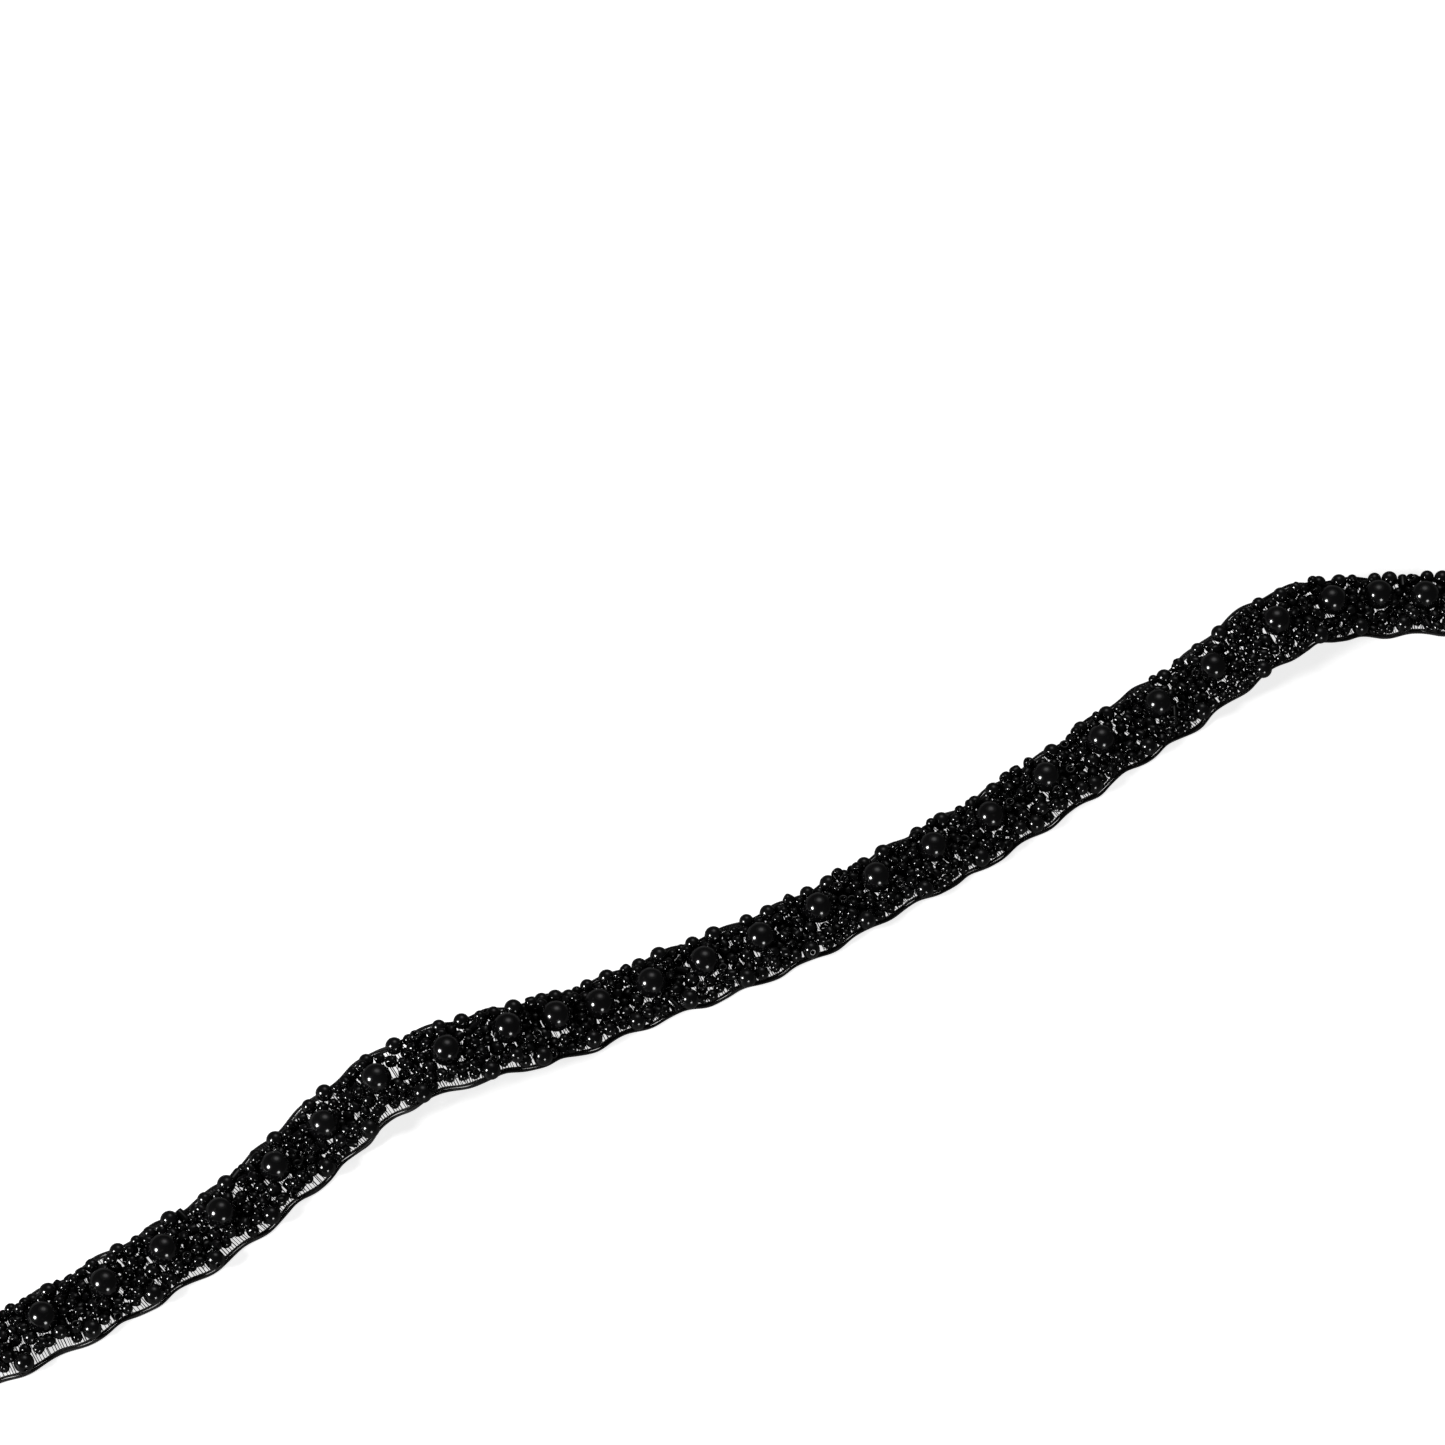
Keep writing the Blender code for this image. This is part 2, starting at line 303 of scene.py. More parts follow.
def tubes(paths, radii, sides):
    """Closed tubes along paths: points, faces and the strand map of them all.

    paths has the points of each tube, and radii a number or one for each point of each ring.
    """
    count, stations = paths.shape[:2]
    run = unit(np.gradient(paths, axis=1))
    first, second = sideways(run)
    turn = (2 * math.pi * np.arange(sides) / sides)[None, None, :]
    radii = np.broadcast_to(np.asarray(radii, float), (count, stations, sides))[..., None]
    wall = first[:, :, None] * np.cos(turn)[..., None] + second[:, :, None] * np.sin(turn)[..., None]
    points = paths[:, :, None] + wall * radii

    start = np.arange(count)[:, None, None] * stations * sides
    ring = np.arange(stations - 1)[None, :, None] * sides
    side = np.arange(sides)[None, None, :]
    a = start + ring + side
    b = start + ring + (side + 1) % sides
    quads = np.stack([a, b, b + sides, a + sides], axis=-1).reshape(-1, 4)
    foot = (start[:, 0] + np.arange(sides))[:, ::-1]
    head = start[:, 0] + (stations - 1) * sides + np.arange(sides)

    length = np.linalg.norm(np.diff(paths, axis=1), axis=2)
    length = np.concatenate([np.zeros((count, 1)), np.cumsum(length, axis=1)], axis=1)
    u0 = np.broadcast_to(length[:, :-1, None], (count, stations - 1, sides))
    u1 = np.broadcast_to(length[:, 1:, None], (count, stations - 1, sides))
    v0 = np.broadcast_to(side / sides, u0.shape)
    v1 = v0 + 1 / sides
    corners = [np.stack(pair, axis=-1) for pair in ((u0, v0), (u0, v1), (u1, v1), (u1, v0))]
    strand_map = np.stack(corners, axis=3).reshape(-1, 2)
    ends = np.zeros((2 * count * sides, 2))
    return points.reshape(-1, 3), [quads, foot, head], np.concatenate([strand_map, ends])


# %% Turned beads


def turned(profile, segments):
    """A bead turned from a closed profile of radius and height: its points and its faces."""
    profile = np.array(profile)
    turn = 2 * math.pi * np.arange(segments) / segments
    points = np.stack(
        [
            profile[None, :, 0] * np.cos(turn)[:, None],
            profile[None, :, 0] * np.sin(turn)[:, None],
            np.broadcast_to(profile[None, :, 1], (segments, len(profile))),
        ],
        axis=-1,
    )
    place_in = np.arange(segments * len(profile)).reshape(segments, len(profile))
    a, b = place_in, np.roll(place_in, -1, axis=0)
    quads = np.stack([a, b, np.roll(b, -1, axis=1), np.roll(a, -1, axis=1)], axis=-1)
    return points.reshape(-1, 3), quads.reshape(-1, 4)


def copies(shape, centres, axes, sizes):
    """Points and faces of one shape at many places. Its own height axis turns to each axis."""
    points, quads = shape
    first, second = sideways(axes)
    sizes = np.asarray(sizes, float)
    turned_points = (
        points[None, :, :1] * first[:, None]
        + points[None, :, 1:2] * second[:, None]
        + points[None, :, 2:] * axes[:, None]
    )
    laid = centres[:, None] + turned_points * sizes[:, None, None]
    shifted = quads[None] + (np.arange(len(centres)) * len(points))[:, None, None]
    return laid.reshape(-1, 3), shifted.reshape(-1, 4)


# %% [markdown]
# ## Laying out the beads
#
# On the real trim every bead is sewn by hand: first the pearls, then the gaps are filled until
# hardly any tulle shows. Placing more than a thousand beads one by one would take a day, and a
# plain grid would look machine made. So the pattern starts from a short table of what each repeat
# holds, the rest is filled with seeds in loose rows, and then all beads push each other apart and
# sink down, as they would when shaken on a tray. The random numbers come from one seeded source, so
# that every run gives the same trim.
#
# While the beads settle, a hold of 1 keeps a bead where it is, 0 lets it go anywhere, and a value
# between them draws it back to its first place.

# %% What each repeat holds
# Each bead is a row of along, across, height, radius, hold and kind.
KIND_PEARL, KIND_SMALL, KIND_SEED, KIND_ROUND, KIND_TUBE = range(5)
HOLD_PEARL, HOLD_EDGE, HOLD_CHAIN, HOLD_NONE = 1.0, 0.75, 0.3, 0.0
# Share of the way to the next pearl, across in mm, radius in mm.
EDGE_PEARLS = (
    (0.50, -6.2, 1.9),
    (0.375, 5.2, 1.7),
    (0.03, 5.4, 1.45),
    (0.75, -1.6, 1.5),
)
EDGE_PEARL_SPREAD = (0.92, 1.05)
TULLE_UNDER_BEADS = 0.9
# A slanting chain of seeds crosses each repeat, from and to a share of the way and mm across.
CHAIN_BEADS = 6
CHAIN_START = (0.15, 4.6)
CHAIN_END = (0.80, -4.2)
CHAIN_HEIGHT = 2.2 * MM
ROUND_SHARE = 0.45
SEED_RADII = (1.03, 1.20)
END_MARGIN = 1.2 * MM

random = np.random.default_rng(7)


def seed_kind():
    """A round bead or a seed bead, in the mix that fills the strip."""
    return KIND_ROUND if random.random() < ROUND_SHARE else KIND_SEED


def between_pearls(number, share):
    """How far along the strip it is, a share of the way from one large pearl to the next."""
    before = np.clip(int(np.floor(number + share)), 0, len(pearls_flat) - 2)
    here, there = pearls_flat[before : before + 2, 0]
    return here + (there - here) * (number + share - before)


def inside(along, radius):
    return END_MARGIN + radius < along < TRIM_LENGTH - END_MARGIN - radius


placed = []
for along, across, height in pearls_flat:
    placed.append((along, across, height, PEARL_RADIUS, HOLD_PEARL, KIND_PEARL))
for number in range(-1, len(pearls_flat)):
    for share, across, radius in EDGE_PEARLS:
        along = between_pearls(number, share) + random.normal(0, 0.5 * MM)
        across += random.normal(0, 0.2)
        if inside(along, radius * MM):
            radius = radius * random.uniform(*EDGE_PEARL_SPREAD)
            height = (TULLE_UNDER_BEADS + radius) * MM
            placed.append((along, across * MM, height, radius * MM, HOLD_EDGE, KIND_SMALL))
    for bead in range(CHAIN_BEADS):
        step = bead / (CHAIN_BEADS - 1)
        share = CHAIN_START[0] + (CHAIN_END[0] - CHAIN_START[0]) * step
        across = CHAIN_START[1] + (CHAIN_END[1] - CHAIN_START[1]) * step
        along = between_pearls(number, share)
        if inside(along, 1.1 * MM):
            radius = random.uniform(*SEED_RADII) * MM
            placed.append((along, across * MM, CHAIN_HEIGHT, radius, HOLD_CHAIN, seed_kind()))
print("pearls and chains:", len(placed), "beads")

# %% Fill the gaps with seeds in loose rows
ROW_STEP = 1.72 * MM
SEED_STEP = 1.95 * MM
SEEDS_NEAR = 5.8 * MM
SEEDS_FAR = 5.4 * MM
ROW_END = 2.4 * MM
ROW_JITTER = 0.25 * MM
CLEAR_OF_PEARLS = 0.45 * MM
SEED_HEIGHTS = (2.0, 2.8)
TUBE_SHARE = 0.05
TUBE_HEIGHT = 2.1 * MM
TUBE_REACH = 1.2 * MM
SMALL_PEARL_SHARE = 0.05
SMALL_PEARL_HEIGHT = 2.5 * MM
SMALL_PEARL_RADII = (1.3, 1.5)
# A share of the seeds gets a second one on top, a little aside.
PILED_SHARE = 0.3
PILED_HEIGHT = 4.4 * MM
PILED_ASIDE = (0.8 * MM, 0.6 * MM)

fixed = np.array(placed)
rows = round((SEEDS_NEAR + SEEDS_FAR) / ROW_STEP)
for row in range(rows + 1):
    across_row = -SEEDS_NEAR + row * (SEEDS_NEAR + SEEDS_FAR) / rows
    row_start = ROW_END + (row % 2) * SEED_STEP / 2
    for along_row in np.arange(row_start, TRIM_LENGTH - ROW_END, SEED_STEP):
        along = along_row + random.normal(0, ROW_JITTER)
        across = across_row + random.normal(0, ROW_JITTER)
        reach = np.hypot(fixed[:, 0] - along, fixed[:, 1] - across) - fixed[:, 3]
        draw = random.random()
        if reach.min() < CLEAR_OF_PEARLS:
            continue
        if draw < TUBE_SHARE:
            placed.append((along, across, TUBE_HEIGHT, TUBE_REACH, HOLD_NONE, KIND_TUBE))
        elif draw < TUBE_SHARE + SMALL_PEARL_SHARE:
            radius = random.uniform(*SMALL_PEARL_RADII) * MM
            placed.append((along, across, SMALL_PEARL_HEIGHT, radius, HOLD_NONE, KIND_SMALL))
        else:
            radius = random.uniform(*SEED_RADII) * MM
            height = random.uniform(*SEED_HEIGHTS) * MM
            placed.append((along, across, height, radius, HOLD_NONE, seed_kind()))
        if random.random() < PILED_SHARE:
            radius = random.uniform(*SEED_RADII) * MM
            along, across = along + PILED_ASIDE[0], across + PILED_ASIDE[1]
            placed.append((along, across, PILED_HEIGHT, radius, HOLD_NONE, seed_kind()))
beads = np.array(placed)
print("beads in all:", len(beads))

# %% Let the beads push each other apart and sink
TULLE_TOP = 0.8 * MM
NEIGHBOURS = 30
SINK = 0.035 * MM
PULL_HOME = 0.3
# Sewn tightly, beads press a little into each other and into the soft tulle.
PRESSED = 0.97
PRESSED_IN_TULLE = 0.95
SETTLE_ROUNDS = 160
# Bare tulle inside the near cord, less than none where beads hang over it: along, then mm of it.
BARE_EDGE = ((0, -0.7), (95, -0.7), (130, -1.1), (285, -1.1), (305, -1.3), (347, -1.3))
# How much wider the bare tulle is in the patches between the clusters of beads: along, then mm.
BARE_PATCH = ((0, 1.3), (95, 1.3), (130, 0.7), (347, 0.7))
PATCH_WAVE = 2.1 * MM
PATCH_SLOW_WAVE = 7 * MM
FAR_REACH = 6.1 * MM
FAR_WANDER = 0.5 * MM
FAR_WAVE = 3.1 * MM


def settle(beads, rounds):
    """Push touching beads apart and let them sink, a little in each round."""
    spots, radii, hold = beads[:, :3].copy(), beads[:, 3] * PRESSED, beads[:, 4]
    home = spots.copy()
    free = (1 - hold)[:, None]
    patch = np.sin(home[:, 0] / PATCH_WAVE + 1.5 * np.sin(home[:, 0] / PATCH_SLOW_WAVE))
    ends, bare = np.array(BARE_EDGE).T * MM
    patch_ends, patch_widths = np.array(BARE_PATCH).T * MM
    bare = np.interp(home[:, 0], ends, bare)
    bare += np.interp(home[:, 0], patch_ends, patch_widths) * np.maximum(patch, 0)
    near_limit = edge_line(home[:, 0], -1) + CORD_RADIUS + bare + radii
    far_limit = FAR_REACH + FAR_WANDER * np.sin(home[:, 0] / FAR_WAVE) - radii
    lowest = TULLE_TOP + radii * PRESSED_IN_TULLE
    pearl = hold >= HOLD_EDGE
    low = np.stack([radii + END_MARGIN, np.where(pearl, -1, near_limit)], axis=1)
    high = np.stack([TRIM_LENGTH - radii - END_MARGIN, np.where(pearl, 1, far_limit)], axis=1)
    for turn in range(rounds):
        order = np.argsort(spots[:, 0])
        for step in range(1, NEIGHBOURS + 1):
            a, b = order[:-step], order[step:]
            gap = spots[b] - spots[a]
            distance = np.maximum(np.linalg.norm(gap, axis=1), 1e-6)
            overlap = np.clip(radii[a] + radii[b] - distance, 0, None)
            push = gap * (overlap / distance)[:, None]
            give = free[a] + free[b] + 1e-9
            spots[a] -= push * free[a] / give
            spots[b] += push * free[b] / give
        left = 1 - turn / rounds
        spots[:, 2] -= SINK * left * (hold < 1)
        spots += (home - spots) * (hold * PULL_HOME)[:, None] * (hold < 1)[:, None]
        spots[:, :2] = np.where(hold[:, None] < 1, np.clip(spots[:, :2], low, high), spots[:, :2])
        spots[:, 2] = np.where(hold < 1, np.maximum(spots[:, 2], lowest), spots[:, 2])
    return np.column_stack([spots, beads[:, 3:]])


beads = settle(beads, SETTLE_ROUNDS)
tops = (beads[:, 2] + beads[:, 3])[len(PEARL_NODES) :]
print("highest small bead", round(float(tops.max() / MM), 1), "mm up")

# %% Fill the holes that are left
# Along to which the rule holds, in mm, and the clear reach around a hole's middle that gets a bead.
HOLE_RULES = ((105, 0.75), (350, 0.27))
HOLE_STEPS = (0.6 * MM, 0.5 * MM)
HOLE_ENDS = 3 * MM
FILLER_RADII = (0.95, 1.1)
FILLER_HEIGHT = 2.6 * MM
FILLER_ROUNDS = 110


def fill_holes(beads):
    """More seeds where the tulle still shows between the beads. The left stretch keeps more holes."""
    along, across = np.meshgrid(
        np.arange(HOLE_ENDS, TRIM_LENGTH - HOLE_ENDS, HOLE_STEPS[0]),
        np.arange(-SEEDS_NEAR, SEEDS_FAR, HOLE_STEPS[1]),
    )
    along, across = random.permutation(np.stack([along.ravel(), across.ravel()], axis=1)).T
    clear = np.full(len(along), 1.0)
    for bead in beads:
        clear = np.minimum(clear, np.hypot(along - bead[0], across - bead[1]) - bead[3])
    ends, reaches = np.array(HOLE_RULES).T * MM
    wanted = reaches[np.searchsorted(ends, along)]
    more = []
    for i in range(len(along)):
        if clear[i] > wanted[i]:
            radius = random.uniform(*FILLER_RADII) * MM
            more.append((along[i], across[i], FILLER_HEIGHT, radius, HOLD_NONE, seed_kind()))
            clear = np.minimum(clear, np.hypot(along - along[i], across - across[i]) - radius)
    return np.concatenate([beads, more])


before = len(beads)
beads = settle(fill_holes(beads), FILLER_ROUNDS)
spots, sizes, kinds = beads[:, :3], beads[:, 3], beads[:, 5].astype(int)
print("added to fill holes:", len(beads) - before)

# %% Turn each bead's hole its own way
SEEDS_ON_END = 0.14
HOLE_RISE = 0.25
LARGE_PEARL_TURN = 0.2
count = len(beads)
way = random.uniform(0, math.pi, count)
rise = random.normal(0, HOLE_RISE, count)
on_end = (random.random(count) < SEEDS_ON_END) & (kinds == KIND_SEED)
rise = np.where(on_end, math.pi / 2 - np.abs(rise), rise)
rise = np.where(kinds == KIND_PEARL, rise * LARGE_PEARL_TURN, rise)
way = np.where(kinds == KIND_PEARL, way * LARGE_PEARL_TURN, way)
run, side, up = directions(spots[:, 0])
axes = unit(
    run * (np.cos(way) * np.cos(rise))[:, None]
    + side * (np.sin(way) * np.cos(rise))[:, None]
    + up * np.sin(rise)[:, None]
)
centres = place(*spots.T)
tones = random.random(count)
print("beads on end:", int(on_end.sum()), "tubes:", int((kinds == KIND_TUBE).sum()))

# %% [markdown]
# ## The large pearls
#
# A 6 mm pearl is a ball with a hole drilled through it, and the drill leaves a small dimple at
# each mouth. A ball primitive has no hole, so the pearl is turned from a closed profile instead:
# a half circle outside, a round lip, and the hole's wall inside.

# %% Profiles of the beads


def ball_profile(hole, steps):
    """A ball of radius 1 with a hole of that radius through it, its mouths rounded."""
    lip = math.asin(min(hole * 1.25, 0.9))
    polar = np.linspace(lip, math.pi - lip, steps)
    outer = [(math.sin(angle), math.cos(angle)) for angle in polar[::-1]]
    mouth = math.cos(lip) - hole * 0.2
    return outer + [(hole, mouth), (hole, 0), (hole, -mouth)]


def seed_profile(hole, half_length, steps, squareness):
    """A seed bead of radius 1: a full round belly and flat rims around the hole."""
    turn = np.linspace(-math.pi / 2, math.pi / 2, steps)
    waist = (1 + hole) / 2
    outer = []
    for angle in turn:
        out = abs(math.cos(angle)) ** squareness
        high = math.copysign(abs(math.sin(angle)) ** squareness, math.sin(angle))
        outer.append((waist + (1 - waist) * out, half_length * high))
    return outer + [(hole, half_length * 0.72), (hole, -half_length * 0.72)]


large_pearl = turned(ball_profile(0.13, 26), 44)
small_pearl = turned(ball_profile(0.18, 15), 26)
round_bead = turned(ball_profile(0.22, 9), 14)
round_seed = turned(seed_profile(0.30, 0.84, 9, 0.85), 15)
tube_bead = turned(seed_profile(0.42, 1.55, 8, 0.45), 16)

# %% Large and small pearls


def bead_piece(name, shape, chosen, scale):
    """All the chosen beads as one joined mesh, each with its tone."""
    points, quads = copies(shape, centres[chosen], axes[chosen], scale)
    each = len(shape[0])
    return add_mesh(name, points, [quads], np.repeat(tones[chosen], each))


large_pearls = bead_piece(
    "large_pearls", large_pearl, kinds == KIND_PEARL, sizes[kinds == KIND_PEARL]
)
edge_pearls = bead_piece("edge_pearls", small_pearl, kinds == KIND_SMALL, sizes[kinds == KIND_SMALL])

# %% [markdown]
# ## Seed and tube beads
#
# Seed beads are cut from a glass tube and tumbled, so they are short and round-bellied with a
# wide hole. There are hundreds, and one mesh of them all would be heavy to edit, so they are
# joined in three stretches of the strip. The short tube beads are cut longer and keep flat ends.

# %% Seed beads in three stretches
STRETCHES = ("left", "middle", "right")
seed_pieces = []
for number, stretch in enumerate(STRETCHES):
    start = TRIM_LENGTH * number / len(STRETCHES)
    end = TRIM_LENGTH * (number + 1) / len(STRETCHES)
    here = (spots[:, 0] >= start) & (spots[:, 0] < end)
    for kind, shape, name in ((KIND_SEED, round_seed, "seed"), (KIND_ROUND, round_bead, "round")):
        chosen = here & (kinds == kind)
        seed_pieces.append(bead_piece(f"{name}_beads_{stretch}", shape, chosen, sizes[chosen]))

# %% Tube beads
TUBE_RADIUS = 0.95 * MM
chosen = kinds == KIND_TUBE
tube_beads = bead_piece("tube_beads", tube_bead, chosen, np.full(chosen.sum(), TUBE_RADIUS))

# %% [markdown]
# ## Ribbed tulle
#
# The ground is a sheer net whose crosswise threads stand out as fine dark ribs, about two to a
# millimetre. Where no bead covers it, white shows between the ribs. A picture of ribs on a plain
# sheet would lose that look close up, so the ribs are real threads, and the sheet between them is
# a thin film with a fine see-through weave.

# %% Height of the tulle
TULLE_MIDDLE = 0.72 * MM
TULLE_AT_CORD = 0.42 * MM
PUCKER = 0.07 * MM


def tulle_height(along, across):
    """Height of the tulle: level under the beads, lower at the cords, and a little puckered."""
    edge = np.clip(np.abs(across) / (TRIM_WIDTH / 2), 0, 1)
    pucker = np.sin(along / (1.9 * MM)) * np.sin(across / (1.3 * MM) + along / (5 * MM))
    return TULLE_AT_CORD + (TULLE_MIDDLE - TULLE_AT_CORD) * (1 - edge**4) + PUCKER * pucker


# %% The sheer sheet
SHEET_STATIONS = 700
SHEET_ROWS = 19

sheet_along = np.linspace(0, TRIM_LENGTH, SHEET_STATIONS)
share = np.linspace(0, 1, SHEET_ROWS)
near, far = edge_line(sheet_along, -1), edge_line(sheet_along, 1)
sheet_across = near[:, None] + (far - near)[:, None] * share
grid_along = np.broadcast_to(sheet_along[:, None], sheet_across.shape)
sheet_points = place(grid_along, sheet_across, tulle_height(grid_along, sheet_across))
index = np.arange(SHEET_STATIONS * SHEET_ROWS).reshape(SHEET_STATIONS, SHEET_ROWS)
sheet_faces = np.stack(
    [index[:-1, :-1], index[1:, :-1], index[1:, 1:], index[:-1, 1:]], axis=-1
).reshape(-1, 4)
flat_map = np.stack([grid_along, sheet_across], axis=-1).reshape(-1, 2)[sheet_faces.ravel()]
tulle_sheet = add_mesh("tulle_sheet", sheet_points.reshape(-1, 3), [sheet_faces], None, flat_map)

# %% The ribs
RIB_PITCH = 0.55 * MM
RIB_RADIUS = 0.09 * MM
RIB_STATIONS = 12
RIB_SIDES = 4

rib_along = np.arange(0.3 * MM, TRIM_LENGTH - 0.2 * MM, RIB_PITCH)
rib_along = rib_along + random.normal(0, 0.08 * MM, len(rib_along))
share = np.linspace(0, 1, RIB_STATIONS)
near, far = edge_line(rib_along, -1), edge_line(rib_along, 1)
across = near[:, None] + (far - near)[:, None] * share
lean = 0.10 * np.sin(rib_along / (9 * MM)) + 0.07 * np.sin(rib_along / (3.7 * MM) + 2)
along = rib_along[:, None] + lean[:, None] * across + 0.05 * MM * np.sin(across / (2.1 * MM))
along = np.clip(along, 0, TRIM_LENGTH)
rib_paths = place(along, across, tulle_height(along, across) + 0.03 * MM)
rib_radii = RIB_RADIUS * random.uniform(0.65, 1.3, (len(rib_along), 1, 1))
points, faces, strand_map = tubes(rib_paths, rib_radii, RIB_SIDES)
rib_tones = np.repeat(random.random(len(rib_along)), RIB_STATIONS * RIB_SIDES)
tulle_ribs = add_mesh("tulle_ribs", points, faces, rib_tones, strand_map)

# %% [markdown]
# ## Stitched edge cords
#
# Each edge is finished with a line of dense stitching over two filler threads. It looks like two
# fine cords side by side, wrapped crosswise. Both strands are tubes whose radius swells at every
# wrap, so the ridges are real and catch the light at any angle.

# %% Two wrapped strands along each edge
STRANDS = ((0.33, 0.31), (-0.29, 0.28))  # out from the cord's middle and radius, in mm
WRAP_PITCH = 0.34 * MM
WRAP_DEPTH = 0.13
STEPS_A_WRAP = 3
CORD_SIDES = 6


def stitched_cord(name, side):
    """Both strands of one edge, with the wraps as ridges on them."""
    stations = int(TRIM_LENGTH / WRAP_PITCH * STEPS_A_WRAP)
    along = np.linspace(0, TRIM_LENGTH, stations)
    paths, radii = [], []
    for number, (out, radius) in enumerate(STRANDS):
        wander = 0.05 * np.sin(along / (2.3 * MM) + number) + 0.04 * np.sin(along / (0.9 * MM))
        across = edge_line(along, side) + side * (out + wander) * MM
        height = (radius + 0.03 + 0.05 * np.sin(along / (1.6 * MM) + 2 * number) ** 2) * MM
        paths.append(place(along, across, height))
        slant = np.arange(CORD_SIDES) / CORD_SIDES * 0.5
        wraps = along[:, None] / WRAP_PITCH + slant + number * 0.5
        uneven = 1 + 0.10 * np.sin(along / (1.1 * MM) + number)[:, None]
        ridge = 1 - WRAP_DEPTH + WRAP_DEPTH * np.abs(np.sin(math.pi * wraps)) * 2
        radii.append(radius * MM * uneven * ridge)
    points, faces, strand_map = tubes(np.array(paths), np.array(radii), CORD_SIDES)
    tones = np.repeat(random.random(len(STRANDS)), stations * CORD_SIDES)
    return add_mesh(name, points, faces, tones, strand_map)


cord_near = stitched_cord("stitched_cord_near", -1)
cord_far = stitched_cord("stitched_cord_far", 1)

# %% [markdown]
# ## Sewing thread
#
# A shiny nylon thread runs through every bead and dips into the tulle on both sides of it. Under
# the tulle it runs on to the next bead. It shows as fine bright lines between the beads, and as
# rows of little stitches on the underside.

# %% Thread through the beads and under the tulle
THREAD_RADIUS = 0.085 * MM
THREAD_SIDES = 3
THREAD_STATIONS = 7
UNDER_TULLE = 0.16 * MM
OVERHANG = 0.16 * MM
FOOT_REACH = 0.86
SEAM_LIMIT = 6.6 * MM
HALF_LENGTHS = {KIND_PEARL: 1.0, KIND_SMALL: 1.0, KIND_SEED: 0.84, KIND_ROUND: 1.0, KIND_TUBE: 1.55}

bead_radii = np.where(kinds == KIND_TUBE, TUBE_RADIUS, sizes)
half = np.array([HALF_LENGTHS[kind] for kind in kinds]) * bead_radii


def thread_dips(sign):
    """Round bends from inside each hole, over its lip and down into the tulle."""
    way_out = axes * sign
    start = centres + way_out * (half * 0.75)[:, None]
    lip = centres + way_out * (half + OVERHANG)[:, None]
    reach = np.sum(way_out * run, axis=1) * half * FOOT_REACH
    aside = np.sum(way_out * side, axis=1) * half * FOOT_REACH
    foot_along = np.clip(spots[:, 0] + reach, 0.5 * MM, TRIM_LENGTH - 0.5 * MM)
    foot_across = np.clip(spots[:, 1] + aside, -SEAM_LIMIT, SEAM_LIMIT)
    foot = place(foot_along, foot_across, tulle_height(foot_along, foot_across) - UNDER_TULLE)
    down = lip * 0.6 + foot * 0.4 + way_out * OVERHANG
    t = np.linspace(0, 1, THREAD_STATIONS)[None, :, None]
    weights = ((1 - t) ** 3, 3 * t * (1 - t) ** 2, 3 * t**2 * (1 - t), t**3)
    bend = sum(weight * point[:, None] for weight, point in zip(weights, (start, lip, down, foot)))
    return bend, foot_along, foot_across


dips_back, back_along, back_across = thread_dips(-1)
dips_on, on_along, on_across = thread_dips(1)
order = np.argsort(spots[:, 0])
here, following = order[:-1], order[1:]
share = np.linspace(0, 1, THREAD_STATIONS)
under_along = on_along[here][:, None] * (1 - share) + back_along[following][:, None] * share
under_across = on_across[here][:, None] * (1 - share) + back_across[following][:, None] * share
under_height = tulle_height(under_along, under_across) - UNDER_TULLE
under_paths = place(under_along, under_across, under_height)
all_paths = np.concatenate([dips_back, dips_on, under_paths])
points, faces, strand_map = tubes(all_paths, THREAD_RADIUS, THREAD_SIDES)
thread_tones = np.repeat(random.random(len(all_paths)), THREAD_STATIONS * THREAD_SIDES)
sewing_thread = add_mesh("sewing_thread", points, faces, thread_tones, strand_map)

# %% [markdown]
# ## Effects shared by several materials
#
# Three effects are needed more than once, so each is a node group with its own inputs: the
# finish of a bead, the twist of a thread, which also gives a painted shade for the grooves between
# its plies, and the fine lint that settles on black things. A group hands out only colours, masks
# and heights. The shader itself stays in each material.

# %% Helpers for node groups


def new_group(name, inputs, outputs):
    """An empty node group with named sockets, and its input and output nodes."""
    group = bpy.data.node_groups.new(name, "ShaderNodeTree")
    for label, kind, value in inputs:
        socket = group.interface.new_socket(label, in_out="INPUT", socket_type=kind)
        socket.default_value = value
    for label, kind in outputs:
        group.interface.new_socket(label, in_out="OUTPUT", socket_type=kind)
    return group, group.nodes.new("NodeGroupInput"), group.nodes.new("NodeGroupOutput")


def add_node(tree, kind, settings=None, values=None):
    """A node with its settings, and with values on its inputs, by name or by number."""
    node = tree.nodes.new(kind)
    for label, value in (settings or {}).items():
        setattr(node, label, value)
    for label, value in (values or {}).items():
        node.inputs[label].default_value = value
    return node


def maths(tree, operation, first, second):
    """A Math node whose two inputs are sockets or plain numbers."""
    node = add_node(tree, "ShaderNodeMath", {"operation": operation})
    for slot_number, source in enumerate((first, second)):
        if isinstance(source, (int, float)):
            node.inputs[slot_number].default_value = source
        else:
            tree.links.new(source, node.inputs[slot_number])
    return node.outputs[0]


def mix_colour(tree, share, first, second):
    node = add_node(tree, "ShaderNodeMix", {"data_type": "RGBA"})
    for socket, source in ((node.inputs[0], share), (node.inputs[6], first), (node.inputs[7], second)):
        if isinstance(source, (int, float, tuple)):
            socket.default_value = source
        else:
            tree.links.new(source, socket)
    return node.outputs[2]


COLOUR, NUMBER = "NodeSocketColor", "NodeSocketFloat"

